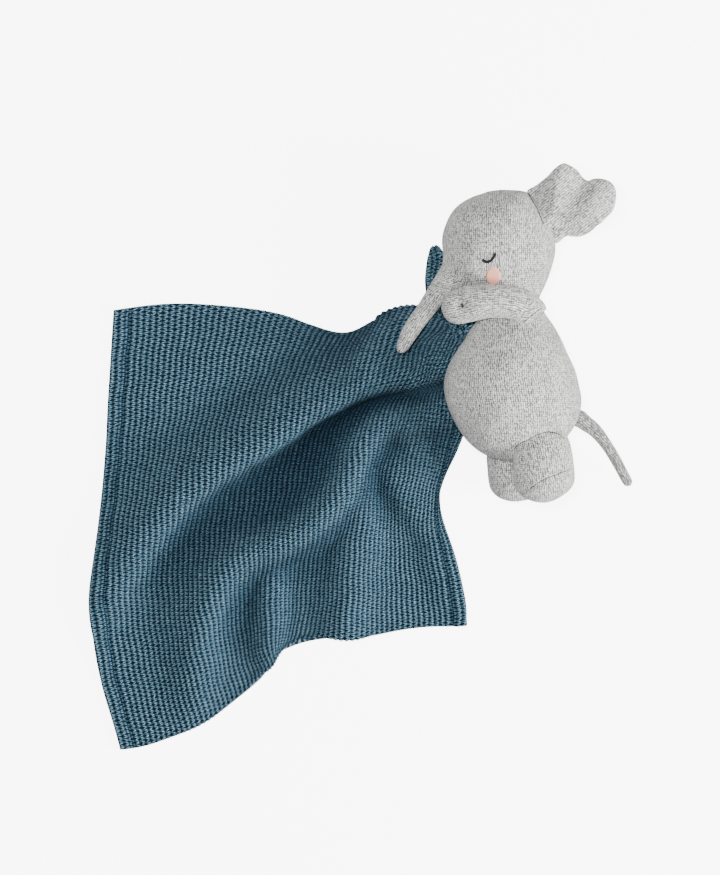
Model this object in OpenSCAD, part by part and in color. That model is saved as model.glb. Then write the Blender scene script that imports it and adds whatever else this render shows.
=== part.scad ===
// Knitted elephant comforter lying on its right side, holding the corner of a knitted cloth.
// X points from the elephant's chest to its back, Y from its feet to its head, Z up from the
// surface it lies on. The origin is the middle of the flat that the belly rests on.

/* [Body] */
// Radius of the round belly
belly_r = 43.5; // [42:0.5:45]
// Height of the elephant's middle plane above the surface
mid_z = 38.5; // [38:0.25:40]
// Radius of the domed neck that the head sits on
neck_r = 19; // [18:0.25:20]
// Distance from the belly's centre to the neck's centre
neck_reach = 60; // [59:0.25:61]
// Lean of the body's long axis towards the chest, in degrees
body_lean = 3; // [0:0.5:5]

/* [Head] */
// Radius of the head
head_r = 36; // [34.5:0.5:36.5]
// Radius of the trunk where it leaves the face
trunk_root_r = 10; // [9:0.25:10.5]
// Radius of the trunk's tip
trunk_tip_r = 4.3; // [3.5:0.1:4.8]
// Thickness of each knitted ear layer
ear_layer = 1.8; // [1.4:0.1:2]

/* [Limbs] */
// Radius of each arm
arm_r = 10.3; // [9:0.1:10.4]
// Radius of each leg at the hip
leg_r = 18.5; // [16:0.25:18.5]
// Distance from the hip to the bottom of the foot
leg_length = 34.5; // [32:0.5:38]
// Radius of the tail where it leaves the back
tail_root_r = 4.8; // [4:0.1:5]

/* [Fabric] */
// Thickness of the elephant's knitted skin
skin = 1.2; // [0.8:0.1:1.6]
// Thickness of the garter-knit cloth
cloth = 3; // [2:0.25:3.5]
// Share of the folds' full height
fold_height = 1; // [0.6:0.05:1.05]

/* [Hidden] */

grey = "#bdbbb7";
fibre = "#f1efe9";
petrol = "#3f6c80";
black = "#1c1a1b";
pink = "#e9b3a6";

gap = 0.1;         // between a skin and its filling, and between two sewn panels
joint_gap = 0.5;   // round every root that turns in its socket
big = 400;         // side of the boxes that cut a form

belly = [0, -8.5, mid_z];
neck = belly + neck_reach * [-sin(body_lean), cos(body_lean), 0];
head = [-9.6, 85.2, mid_z];
seat_y = -41;      // the belly ends here, where the legs are sewn on
shelf_half = 15;   // half the thickness of the neck between the two arms
shelf_low_y = 34;  // the arms' recess in the body starts here
chin_y = 63;       // the head ends here, above the arms

shoulder_z = shelf_half + arm_r + 0.6;
paw_z = 18.5;      // from the middle plane to the middle of a paw
shoulder = [9.5, 45.5];
arm_path = [[shoulder.x, shoulder.y, shoulder_z], [-1, 48.3, shoulder_z], [-14, 49.5, shoulder_z],
    [-26, 48.5, 23], [-34.5, 46.5, paw_z]];
tack = [-31.5, 46.9];

trunk_root = [-38, 66.5, mid_z + 3.5];
trunk_path = [trunk_root, [-46, 58, mid_z + 5.5], [-55.7, 44.2, mid_z + 6], [-62.4, 35, mid_z + 5.5],
    [-67, 27.5, mid_z + 4.5], [-70.3, 20.5, mid_z + 3.5]];
trunk_radii = [trunk_root_r, 7.4, 5.9, 5.4, 5, trunk_tip_r];

tail_root = [41.6, -24.3, mid_z];
tail_path = [tail_root, [53.1, -33.3, 34], [60.8, -42.9, 27], [67.8, -54.4, 19],
    [74.2, -65.9, 12]];
tail_radii = [tail_root_r, 3.6, 3.3, 3, 2.6];

hips = [[17.5, -43, mid_z + 19.2], [2, -43, mid_z - 19.2]]; // left, right
leg_leans = [6, 2];

// Outline of the left ear, seen from above; its inner side is cut to the head's curve.
ear_outline = [[6, 114], [9, 120.3], [15.4, 124.5], [21.8, 129.3], [29.4, 136], [34, 137],
    [40.3, 132.5], [46, 127.5], [55, 127.4], [63, 124], [65.5, 118], [64.8, 110], [60, 103.5],
    [51.8, 97], [45.4, 94.9], [35, 94.3], [25.6, 95.6], [17, 96]];
ear_z = 10;        // from the middle plane to the middle of an ear
ear_gap = 1.3;     // from the head's curve to the ear's sewn edge
right_ear_turn = -13; // the right ear sits this far round the head from the left one

// ---- shared shapes ----

module above(z) translate([-big / 2, -big / 2, z]) cube(big);
module below(z) translate([-big / 2, -big / 2, z - big]) cube(big);

// Everything the two arms lie in, on both sides of the neck, w nearer to the middle plane.
module arm_recess(w)
    for (side = [-1, 1])
        translate([-big / 2, shelf_low_y - w,
            mid_z + (side > 0 ? shelf_half - w : w - shelf_half - big)]) cube(big);

function circle_ring(c, across, up, r, sides) =
    [for (k = [0 : sides - 1]) c + r * (cos(k * 360 / sides) * across + sin(k * 360 / sides) * up)];
function unit(v) = v / norm(v);

// Rings of a round tube along a path in space, with domed ends.
function tube_rings(path, radii, sides, dome_start = true, dome_end = true) =
    let (last = len(path) - 1,
        dirs = [for (i = [0 : last])
            unit(path[min(i + 1, last)] - path[max(i - 1, 0)])],
        steps = [15, 35, 60, 82])
    [for (a = dome_start ? [for (i = [3 : -1 : 0]) steps[i]] : [])
        let (d = dirs[0], s = unit(cross(d, [0, 0, 1])), t = cross(s, d))
        circle_ring(path[0] - radii[0] * sin(a) * d, s, t, radii[0] * cos(a), sides),
     for (i = [0 : last])
        let (d = dirs[i], s = unit(cross(d, [0, 0, 1])), t = cross(s, d))
        circle_ring(path[i], s, t, radii[i], sides),
     for (a = dome_end ? steps : [])
        let (d = dirs[last], s = unit(cross(d, [0, 0, 1])), t = cross(s, d))
        circle_ring(path[last] + radii[last] * sin(a) * d, s, t, radii[last] * cos(a), sides)];

function flat(rings) = [for (ring = rings) each ring];
function ring_walls(n_rings, sides, from = 0) =
    [for (i = [0 : n_rings - 2], k = [0 : sides - 1])
        let (a = from + i * sides, b = a + sides, m = (k + 1) % sides)
        each [[a + k, a + m, b + m], [a + k, b + m, b + k]]];

// A filled tube.
module plug(path, radii, sides = 16) {
    rings = tube_rings(path, radii, sides);
    n = len(rings);
    polyhedron(points = flat(rings),
        faces = concat(ring_walls(n, sides), [[for (k = [sides - 1 : -1 : 0]) k]],
            [[for (k = [0 : sides - 1]) (n - 1) * sides + k]]));
}

// A knitted tube with a closed far end, open where its filling went in.
module sock(path, radii, sides = 16) {
    outer = tube_rings(path, radii, sides);
    inner = tube_rings(path, [for (r = radii) r - skin], sides);
    n = len(outer);
    m = n * sides;
    faces_out = concat(ring_walls(n, sides), [[for (k = [0 : sides - 1]) m - sides + k]]);
    faces_in = [for (f = concat(ring_walls(n, sides, m), [[for (k = [0 : sides - 1]) 2 * m - sides + k]]))
        [for (k = [len(f) - 1 : -1 : 0]) f[k]]];
    mouth = [for (k = [0 : sides - 1])
        let (j = (k + 1) % sides) each [[k, m + k, m + j], [k, m + j, j]]];
    polyhedron(points = concat(flat(outer), flat(inner)), faces = concat(faces_out, faces_in, mouth));
}

// ---- torso ----

function torso_profile(w) = concat(
    [[0, seat_y - belly.y + w]],
    [for (a = [-40 : 5 : 20]) (belly_r - w) * [cos(a), sin(a)]],
    [for (q = [[0.84, 0.586], [0.747, 0.77], [0.63, 1.034], [0.52, 1.21]])
        belly_r * q - [w, 0]],
    [for (a = [-5 : 10 : 85]) [(neck_r - w) * cos(a), neck_reach + (neck_r - w) * sin(a)]],
    [[0, neck_reach + neck_r - w]]);

module root_ball(c, r, w) translate(c) sphere(r = r + joint_gap + w, $fn = 48);

// The torso's outer form, w inside its own surface.
module torso_form(w) {
    difference() {
        translate(belly) rotate([0, 0, body_lean]) rotate([-90, 0, 0])
            rotate_extrude($fn = 72) polygon(torso_profile(w));
        below(w);
        translate([-big / 2, seat_y + w - big, -big / 2]) cube(big);
        arm_recess(w);
        for (hip = hips) root_ball(hip, leg_r, w);
        root_ball(tail_root, tail_root_r, w);
    }
}

module torso_panel(side) color(grey)
    difference() {
        torso_form(0);
        torso_form(skin);
        if (side > 0) below(mid_z + gap / 2); else above(mid_z - gap / 2);
    }

module torso_stuffing() color(fibre) torso_form(skin + gap);

// ---- head ----

// The head's section: a ball with a hollow for the neck.
function head_profile(w) =
    let (big_r = head_r - w, r = neck_r + joint_gap + w, d = norm(head - neck),
        y = (big_r * big_r - r * r + d * d) / (2 * d), x = sqrt(big_r * big_r - y * y),
        a = atan2(x, y), b = atan2(x, d - y))
    concat([for (k = [0 : 24]) let (t = 180 - (180 - a) * k / 24) big_r * [sin(t), cos(t)]],
        [for (k = [1 : 9]) let (t = b * (1 - k / 9)) [r * sin(t), d - r * cos(t)]]);

module head_form(w)
    difference() {
        translate(head) rotate([0, 90, atan2(neck.y - head.y, neck.x - head.x)])
            rotate_extrude($fn = 72) polygon(head_profile(w));
        // The trunk's root is a ball whose poles lie fore and aft, clear of the cuts.
        translate(trunk_root) rotate([90, 0, 0]) root_ball([0, 0, 0], trunk_root_r, w);
        translate([-big / 2, chin_y + w - big, -big / 2]) cube(big);
    }

module head_panel(side) color(grey)
    difference() {
        head_form(0);
        head_form(skin);
        if (side > 0) below(mid_z + gap / 2); else above(mid_z - gap / 2);
    }

module head_stuffing() color(fibre) head_form(skin + gap);

module trunk_skin() color(grey) sock(trunk_path, trunk_radii, 20);
module trunk_stuffing() color(fibre)
    plug(trunk_path, [for (r = trunk_radii) r - skin - gap], 20);

// One layer of an ear, lying flat; layer 1 is the one away from the elephant's middle plane.
module ear_layer_shape(side, layer)
    translate([0, 0, mid_z + side * ear_z + (layer * side > 0 ? gap / 2 : -gap / 2 - ear_layer)])
        linear_extrude(height = ear_layer) difference() {
            offset(r = 3) offset(delta = -3) polygon(ear_outline);
            translate([head.x, head.y]) circle(r = head_r + ear_gap - 0.6, $fn = 96);
        }

module left_ear_layer(layer) color(grey) ear_layer_shape(1, layer);
module right_ear_layer(layer) color(grey)
    translate([head.x, head.y, 0]) rotate([0, 0, right_ear_turn]) translate([-head.x, -head.y, 0])
        ear_layer_shape(-1, layer);

// ---- face ----

// Puts a child, drawn on the XY plane, on the head's surface above or below a point.
module on_face(x, y, side, lift) {
    dx = x - head.x;
    dy = y - head.y;
    dz = side * sqrt(head_r * head_r - dx * dx - dy * dy);
    n = [dx, dy, dz] / head_r;
    translate(head + (head_r + lift) * n)
        rotate([0, acos(n.z), atan2(n.y, n.x)]) rotate([0, 0, -atan2(n.y, n.x)]) children();
}

// A closed eye is one bowed black stitch.
module eye_stitch(side) color(black) on_face(-15.6, 80.2, side, 0.72)
    rotate([side > 0 ? 0 : 180, 0, 0]) rotate([0, 0, 219])
        rotate_extrude(angle = 150, $fn = 64) translate([4.8, 0]) circle(r = 0.6, $fn = 24);

module cheek_patch(side) color(pink) on_face(-12.4, 68.2, side, 0.05)
    cylinder(r = 4.5, h = 0.8, $fn = 48);

// ---- arms ----

function arm_line(side) = [for (p = arm_path) [p.x, p.y, mid_z + side * p.z]];
arm_radii = [arm_r, arm_r, arm_r, arm_r - 0.2, arm_r - 0.4];

module tack_hole() translate([tack.x, tack.y, -10]) cylinder(r = 1, h = 100, $fn = 32);

module arm_skin(side) color(grey)
    difference() {
        sock(arm_line(side), arm_radii);
        tack_hole();
    }

module arm_stuffing(side) color(fibre)
    difference() {
        plug(arm_line(side), [for (r = arm_radii) r - skin - gap]);
        tack_hole();
    }

module paw_tack() color(grey) {
    knot_z = paw_z + arm_r + 4.1;
    translate([tack.x, tack.y, mid_z - knot_z]) cylinder(r = 0.7, h = 2 * knot_z, $fn = 32);
    for (side = [-1, 1])
        translate([tack.x, tack.y, mid_z + side * knot_z]) sphere(r = 1.3, $fn = 32);
}

// ---- legs ----

function leg_profile(w) = concat(
    [[0, leg_r - w]],
    [for (a = [80 : -10 : 0]) (leg_r - w) * [cos(a), sin(a)]],
    [for (a = [0 : 15 : 75])
        [leg_r - w - (1 - cos(a)) * 13, 13 - leg_length - (13 - w) * sin(a)]],
    [[0, -leg_length + w]]);

module leg_form(i, w) translate(hips[i]) rotate([0, 0, leg_leans[i]]) rotate([-90, 0, 0])
    rotate_extrude($fn = 72) polygon(leg_profile(w));

// Splits a leg's skin where the sole is sewn on.
module sole_side(i, keep_sole)
    translate(hips[i]) rotate([0, 0, leg_leans[i]])
        translate([-big / 2, (keep_sole ? -gap / 2 : gap / 2 - big) + 12 - leg_length, -big / 2])
            cube(big);

module leg_skin(i) color(grey) difference() {
    leg_form(i, 0);
    leg_form(i, skin);
    sole_side(i, false);
}

module leg_sole(i) color(grey) difference() {
    leg_form(i, 0);
    leg_form(i, skin);
    sole_side(i, true);
}

module leg_stuffing(i) color(fibre) leg_form(i, skin + gap);

// ---- tail ----

module tail_skin() color(grey) sock(tail_path, tail_radii);
module tail_stuffing() color(fibre) plug(tail_path, [for (r = tail_radii) r - skin - gap], 12);

// ---- cloth ----

hold = [-38, 42, 0];   // the cloth turns about this point, between the paws
hold_r = 12;           // the loose cloth starts this far from it

// The cloth's edges, seen from above.
top_edge = [[-50, 43], [-64, 46], [-73, 50], [-83, 50], [-93, 45], [-99, 36], [-106, 22],
    [-133, 35], [-160, 44], [-186, 49.5], [-216, 52], [-242, 51], [-263, 46]];
side_edge = [[-34, 30.7], [-37, 22], [-38, 8], [-36, -10], [-33, -27], [-33, -40], [-38, -50],
    [-45.5, -63], [-49.5, -76], [-46, -92], [-38, -112], [-30, -139], [-29, -162]];
far_edge = [[-263, 46], [-267, -13], [-269, -59], [-272, -99], [-278, -125], [-280, -152],
    [-277, -185], [-270, -218], [-258, -244], [-232, -239], [-206, -228], [-180, -209],
    [-158, -186], [-140, -175], [-120, -171], [-107, -173], [-94, -171.5], [-74, -167.5],
    [-51, -165], [-29, -162]];

// The folds' crests: x, y and height, with how far each falls away on its upper and lower side.
roll = [[-44, 20, 28], [-80, 3, 31], [-107, -6, 29], [-133, -21, 27], [-160, -38, 25],
    [-183, -51, 23], [-204, -69, 20], [-220, -87, 17], [-236, -109, 14], [-252, -135, 11],
    [-267, -158, 8]];
second = [[-48, -30, 15], [-70, -25, 23], [-88, -33, 25], [-99, -50, 24], [-106, -69, 22],
    [-120, -89, 19], [-143, -104, 16], [-170, -113, 15], [-187, -129, 14], [-198, -152, 12],
    [-203, -178, 9], [-203, -211, 6]];
third = [[-101, -89, 10], [-102, -119, 12], [-106, -152, 12], [-107, -175, 11]];
pleat = [[-158, -135, 8], [-158, -158, 12], [-157, -184, 12]];
fourth = [[-77, -50, 12], [-68, -73, 13], [-55, -96, 12], [-42, -119, 11], [-34, -145, 8]];
pouch = [[-60, 32, 27], [-78, 34, 28], [-92, 24, 26], [-104, 8, 24]];
folds = [[roll, 26, 13], [second, 14, 15], [third, 13, 15], [pleat, 6, 14], [fourth, 9, 12],
    [pouch, 15, 18]];

function run(line) = [for (i = 0, s = 0; i < len(line);
    s = s + (i < len(line) - 1 ? norm(line[i + 1] - line[i]) : 0), i = i + 1) s];
function at(line, t) =
    let (sums = run(line), s = t * sums[len(sums) - 1],
        i = max([for (k = [0 : len(line) - 2]) sums[k] <= s + 1e-9 ? k : 0]),
        f = (s - sums[i]) / (sums[i + 1] - sums[i]))
    line[i] * (1 - f) + line[i + 1] * f;

// [distance, side, height] of the nearest place on one stretch of a crest.
function near_stretch(p, a, b) =
    let (d = [b.x - a.x, b.y - a.y], v = [p.x - a.x, p.y - a.y],
        f = min(1, max(0, (v * d) / (d * d))),
        off = v - f * d)
    [norm(off), d.x * v.y - d.y * v.x, a.z + f * (b.z - a.z)];
function nearest(list) = let (least = min([for (c = list) c[0]])) [for (c = list) if (c[0] <= least) c][0];
function fold_at(p, fold) =
    let (line = fold[0],
        c = nearest([for (i = [0 : len(line) - 2]) near_stretch(p, line[i], line[i + 1])]),
        w = c[1] < 0 ? fold[1] : fold[2])
    c[2] * exp(-pow(c[0] / w, 2));
function under_belly(p) =
    let (d = norm([p.x - belly.x, p.y - belly.y]))
    d < belly_r ? mid_z - sqrt(belly_r * belly_r - d * d) - 2 : big;
function cloth_z(p) =
    max(cloth, min(cloth + fold_height * pow([for (f = folds) pow(fold_at(p, f), 3)]
        * [for (f = folds) 1], 1 / 3), under_belly(p), 33));

cloth_rows = 26;
cloth_columns = 40;

// A point of the cloth as it lies: u goes round from the top edge to the side, v outwards.
function cloth_place(u, v) =
    let (start = at(top_edge, v), end = at(side_edge, v),
        a0 = atan2(top_edge[0].y - hold.y, top_edge[0].x - hold.x),
        a1 = 360 + atan2(side_edge[0].y - hold.y, side_edge[0].x - hold.x),
        a = a0 + u * (a1 - a0),
        inner = [hold.x + hold_r * cos(a), hold.y + hold_r * sin(a)],
        outer = at(far_edge, u),
        corners = (1 - u) * (1 - v) * top_edge[0] + u * (1 - v) * side_edge[0]
            + (1 - u) * v * far_edge[0] + u * v * far_edge[len(far_edge) - 1])
    (1 - u) * start + u * end + (1 - v) * inner + v * outer - corners;

module blanket() color(petrol) {
    across = cloth_columns + 1;
    plan = [for (j = [0 : cloth_rows], i = [0 : cloth_columns])
        cloth_place(i / cloth_columns, pow(j / cloth_rows, 1.15))];
    n = len(plan);
    top = [for (p = plan) [p.x, p.y, cloth_z(p)]];
    under = [for (p = top) [p.x, p.y, p.z - cloth]];
    faces = concat(
        [for (j = [0 : cloth_rows - 1], i = [0 : cloth_columns - 1])
            let (a = j * across + i, b = a + across) each [[a, b, b + 1], [a, b + 1, a + 1]]],
        [for (j = [0 : cloth_rows - 1], i = [0 : cloth_columns - 1])
            let (a = n + j * across + i, b = a + across) each [[a, b + 1, b], [a, a + 1, b + 1]]],
        [for (i = [0 : cloth_columns - 1]) each [[i, i + 1, n + i + 1], [i, n + i + 1, n + i]]],
        [for (i = [0 : cloth_columns - 1])
            let (a = cloth_rows * across + i) each [[a, n + a + 1, a + 1], [a, n + a, n + a + 1]]],
        [for (j = [0 : cloth_rows - 1])
            let (a = j * across, b = a + across) each [[a, n + a, b], [b, n + a, n + b]]],
        [for (j = [0 : cloth_rows - 1])
            let (a = j * across + cloth_columns, b = a + across)
            each [[a, b, n + a], [b, n + b, n + a]]]);
    polyhedron(points = concat(top, under), faces = faces);
}

// The gathered stretch between the paws, and the corner that sticks out above them.
module knot(p, r, tall) translate(p) scale([1, 1, tall]) sphere(r = r, $fn = 24);

module blanket_gather() color(petrol)
    difference() {
        union() {
            hull() {
                knot([-33.5, 46.5, 37.5], 5, 1);
                knot([-43, 43.5, 33.5], 4.8, 0.8);
            }
            hull() {
                knot([-43, 46, 33], 4.2, 0.8);
                knot([-51, 62, 21], 4.5, 1);
            }
            hull() {
                knot([-51, 62, 21], 4.5, 1);
                knot([-50, 75, 18], 5.5, 1.3);
                knot([-51, 83, 18], 3.6, 1);
            }
        }
        tack_hole();
    }

torso_panel(1);  // torso_left_panel
torso_panel(-1);  // torso_right_panel
torso_stuffing();
head_panel(1);  // head_left_panel
head_panel(-1);  // head_right_panel
head_stuffing();
trunk_skin();
trunk_stuffing();
left_ear_layer(1);  // left_ear_outer
left_ear_layer(-1);  // left_ear_inner
right_ear_layer(1);  // right_ear_outer
right_ear_layer(-1);  // right_ear_inner
eye_stitch(1);  // left_eye_stitch
eye_stitch(-1);  // right_eye_stitch
cheek_patch(1);  // left_cheek_patch
cheek_patch(-1);  // right_cheek_patch
arm_skin(1);  // left_arm_skin
arm_stuffing(1);  // left_arm_stuffing
arm_skin(-1);  // right_arm_skin
arm_stuffing(-1);  // right_arm_stuffing
paw_tack();
leg_skin(0);  // left_leg_skin
leg_sole(0);  // left_leg_sole
leg_stuffing(0);  // left_leg_stuffing
leg_skin(1);  // right_leg_skin
leg_sole(1);  // right_leg_sole
leg_stuffing(1);  // right_leg_stuffing
tail_skin();
tail_stuffing();
blanket_gather();
blanket();
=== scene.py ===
import bpy
import numpy as np
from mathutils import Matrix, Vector
from mathutils.bvhtree import BVHTree


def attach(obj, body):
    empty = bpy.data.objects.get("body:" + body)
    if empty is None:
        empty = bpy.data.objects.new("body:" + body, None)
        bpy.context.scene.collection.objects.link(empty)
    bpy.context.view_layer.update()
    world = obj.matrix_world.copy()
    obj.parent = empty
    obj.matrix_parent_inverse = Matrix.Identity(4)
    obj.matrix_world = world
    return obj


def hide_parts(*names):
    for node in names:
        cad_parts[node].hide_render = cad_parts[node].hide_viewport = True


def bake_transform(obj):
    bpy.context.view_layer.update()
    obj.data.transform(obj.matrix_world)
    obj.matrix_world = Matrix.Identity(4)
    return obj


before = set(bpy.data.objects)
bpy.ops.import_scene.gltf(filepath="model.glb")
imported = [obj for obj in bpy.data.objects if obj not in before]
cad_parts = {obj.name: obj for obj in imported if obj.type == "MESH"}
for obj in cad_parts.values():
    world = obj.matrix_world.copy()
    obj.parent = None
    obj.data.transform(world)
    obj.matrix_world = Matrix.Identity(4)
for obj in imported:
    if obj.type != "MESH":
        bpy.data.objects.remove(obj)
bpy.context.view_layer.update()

MM = 0.001

# The elephant lies on its side, so its middle plane is level.
MID = 38.5  # height of the middle plane
PRESSED = 3.0  # the floor flattens what would lie lower than this
HEAD_MID = np.array([-9.6, 85.2])  # the head's ball, seen from above
HEAD_R = 36.0
PAW_TACK = np.array([-32.6, 46.7, 69.8])  # where a stitch goes through both paws

# The cloth is a square; s runs from its left edge, t from its top edge.
SIDE = 300.0
THICK = 2.6
LEFT_OUT = 220.0  # beyond s - t = LEFT_OUT the corner is gathered and sticks out on its own
GATHER = np.array([-31.0, 45.0, 37.0])
GATHER_R = 8.0
GATHER_FROM, GATHER_TURN = 188, 92  # degrees round the gather that the cloth leaves by
BELLY_MID = np.array([0.0, -8.5])  # the belly's ball with the cloth tucked under it
BELLY_R = 43.5
BELLY_GAP = 3.6
HEM = 10.2  # the folded hem ends in a groove this far from the left and right edges

WALE, COURSE = 1.42, 1.25  # width and height of the elephant's stitches

# Garter stitch: ridge to ridge, loop to loop, a loop's sway and half the yarn's width.
RIDGE = 4.0
LOOP = 2.7
SWAY = 1.2
STRAND = 1.35
RIDGE_WANDER, WANDER_RATE = 0.3, 0.23  # how far, and how fast along it, a ridge wanders
FOLD_SHADE_STRENGTH = 1.15  # how much painted shade darkens the cloth where its folds hide the sky

# The cloth's settling, on a coarse grid, and the fine grid that shows.
GRID = 61
STEP = SIDE / (GRID - 1)
CUT = int(round(LEFT_OUT / STEP))
GATHERED = GRID - 1 - CUT
FINE = 430
SPREAD_PASSES = 1500
SETTLE_STEPS = 700
STIFFNESS = [  # steps along s and t to a spring's other end, and how stiff it is
    (1, 0, 0.9), (0, 1, 0.9), (1, 1, 0.35), (1, -1, 0.35),
    (2, 0, 0.2), (0, 2, 0.2), (5, 0, 0.08), (0, 5, 0.08),
]
DRAG = 0.93
GRAVITY = 0.06  # mm a step, each step
SOFT = 0.03  # knit gives way when pushed together
SMOOTH = 0.12


# ---------- helpers
def spline(points, count):
    """A smooth line through the points, resampled evenly over all its columns."""
    p = np.array(points, float)
    e = np.vstack([2 * p[0] - p[1], p, 2 * p[-1] - p[-2]])
    t = np.linspace(0, 1, 24, endpoint=False)[:, None]
    parts = []
    for i in range(1, len(e) - 2):
        a, b, c, d = e[i - 1 : i + 3]
        square, cube = 2 * a - 5 * b + 4 * c - d, 3 * b - a - 3 * c + d
        parts.append(0.5 * (2 * b + (c - a) * t + square * t * t + cube * t**3))
    q = np.vstack(parts + [p[-1:]])
    s = np.r_[0, np.cumsum(np.linalg.norm(np.diff(q, axis=0), axis=1))]
    at = np.linspace(0, s[-1], count)
    return np.array([np.interp(at, s, q[:, k]) for k in range(q.shape[1])]).T


def unit(v):
    return v / np.maximum(np.linalg.norm(v, axis=-1, keepdims=True), 1e-9)


def smoothstep(x):
    x = np.clip(x, 0, 1)
    return x * x * (3 - 2 * x)


def waves(p, size, seed):
    """Smooth noise of about +-1, with features of about that size."""
    r, count = np.random.default_rng(seed), 7
    total = np.zeros(len(p))
    for _ in range(count):
        k = unit(r.normal(size=3)) * r.uniform(0.6, 1.5) * 2 * np.pi / size
        total += np.sin(p @ k + r.uniform(0, 6.28))
    return total / np.sqrt(count)


def make(name, verts, faces, uv=None, material=None):
    me = bpy.data.meshes.new(name)
    me.from_pydata((np.asarray(verts) * MM).tolist(), [], faces)
    me.validate()
    if uv is not None:
        layer = me.uv_layers.new(name="Knit")
        layer.data.foreach_set("uv", np.asarray(uv, np.float32).ravel())
    me.polygons.foreach_set("use_smooth", [True] * len(me.polygons))
    ob = bpy.data.objects.new(name, me)
    bpy.context.scene.collection.objects.link(ob)
    if material:
        me.materials.append(material)
    return ob


def coords(ob):
    co = np.empty(len(ob.data.vertices) * 3, np.float32)
    ob.data.vertices.foreach_get("co", co)
    return co.reshape(-1, 3).astype(float) / MM


def normals(ob):
    no = np.empty(len(ob.data.vertices) * 3, np.float32)
    ob.data.vertices.foreach_get("normal", no)
    return no.reshape(-1, 3).astype(float)


def move(ob, co):
    ob.data.vertices.foreach_set("co", (co * MM).astype(np.float32).ravel())
    ob.data.update()


def line_distance(p, line):
    """Distance of each p from a line of any dimension, and how far along it the nearest place is."""
    best = np.full(len(p), 1e9)
    along = np.zeros(len(p))
    sums = np.r_[0, np.cumsum(np.linalg.norm(np.diff(line, axis=0), axis=1))]
    for i in range(len(line) - 1):
        d = line[i + 1] - line[i]
        f = np.clip(((p - line[i]) @ d) / max(d @ d, 1e-9), 0, 1)
        r = np.linalg.norm(p - line[i] - f[:, None] * d, axis=1)
        near = r < best
        best[near] = r[near]
        along[near] = (sums[i] + f * (sums[i + 1] - sums[i]))[near]
    return best, along


def crease(ob, line, width, depth):
    """Draws the upper side in along a line seen from above, as a row of stitches does."""
    p, n = coords(ob), normals(ob)
    d, _ = line_distance(p[:, :2], spline(line, 40))
    w = depth * np.exp(-((d / width) ** 2))
    w *= n[:, 2] > -0.1
    move(ob, p - n * w[:, None])


def pit(ob, centre, width, depth):
    """A dimple that a stitch pulls into the surface."""
    p, n = coords(ob), normals(ob)
    d = np.linalg.norm(p - np.array(centre), axis=1)
    move(ob, p - n * (depth * np.exp(-((d / width) ** 2)))[:, None])


def lumps(ob, size, height, seed):
    """The slight unevenness of stuffing."""
    p, n = coords(ob), normals(ob)
    move(ob, p + n * (height * waves(p, size, seed))[:, None])


def loft(stations, rings, around, floor=0.0, axis=None):
    """Verts, faces and knit coordinates of a stuffed tube, which the floor flattens.
    A station is x, y, z, half the width seen from above and half the height."""
    s = spline(stations, rings)
    c = s[:, :3]
    if axis is None:
        d = unit(np.gradient(c, axis=0))
    else:
        d = np.tile(unit(np.array(axis, float)), (rings, 1))
    side = unit(np.stack([d[:, 1], -d[:, 0], 0 * d[:, 0]], 1))
    up = np.cross(side, d)
    half = np.maximum(s[:, 3], 0.05)
    tall = np.maximum(s[:, 4], 0.05)
    th = np.arange(around) * 2 * np.pi / around
    p = (
        c[:, None]
        + (half[:, None] * np.cos(th))[..., None] * side[:, None]
        + (tall[:, None] * np.sin(th))[..., None] * up[:, None]
    )
    steps = np.diff(np.column_stack([c, half]), axis=0)
    v = np.r_[0, np.cumsum(np.linalg.norm(steps, axis=1))]
    r = (half + tall) / 2
    faces, uv = [], []
    for i in range(rings - 1):
        for k in range(around):
            m = (k + 1) % around
            low, high = i * around, (i + 1) * around
            faces.append((low + k, high + k, high + m, low + m))
            mid = np.pi / 2 if k < around / 2 else 1.5 * np.pi
            a, b = k * 2 * np.pi / around - mid, (k + 1) * 2 * np.pi / around - mid
            uv += [(r[i] * a, v[i]), (r[i + 1] * a, v[i + 1])]
            uv += [(r[i + 1] * b, v[i + 1]), (r[i] * b, v[i])]
    verts = p.reshape(-1, 3)
    n = len(verts)
    verts = np.vstack([verts, c[:1], c[-1:]])
    for k in range(around):
        m = (k + 1) % around
        faces.append((n, k, m))
        uv += [(0, v[0])] * 3
        faces.append((n + 1, (rings - 1) * around + m, (rings - 1) * around + k))
        uv += [(0, v[-1])] * 3
    if floor is not None:
        z = verts[:, 2] - floor
        pressed = PRESSED * np.exp(np.minimum(z, PRESSED) / PRESSED - 1)
        verts[:, 2] = floor + np.where(z > PRESSED, z, pressed)
    return verts, faces, np.array(uv)


# ---------- materials
def nodes_of(name):
    mat = bpy.data.materials.new(name)
    mat.use_nodes = True
    return mat, mat.node_tree.nodes, mat.node_tree.links


def maths(nodes, links):
    """A function that adds a Math node for its inputs, each a number or a socket."""

    def m(kind, *inputs):
        n = nodes.new("ShaderNodeMath")
        n.operation = kind
        for socket, x in zip(n.inputs, inputs):
            if isinstance(x, (int, float)):
                socket.default_value = x
            else:
                links.new(x, socket)
        return n.outputs[0]

    return m


def ramp_node(nodes, links, fac, stops):
    n = nodes.new("ShaderNodeValToRGB")
    links.new(fac, n.inputs["Fac"])
    while len(n.color_ramp.elements) < len(stops):
        n.color_ramp.elements.new(0.5)
    for e, (pos, col) in zip(n.color_ramp.elements, stops):
        e.position = pos
        e.color = (*col, 1)
    return n.outputs["Color"]


def noise_node(nodes, links, vector, scale, detail, rough=0.6):
    n = nodes.new("ShaderNodeTexNoise")
    n.inputs["Scale"].default_value = scale
    n.inputs["Detail"].default_value = detail
    n.inputs["Roughness"].default_value = rough
    links.new(vector, n.inputs["Vector"])
    return n.outputs["Fac"]


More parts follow.
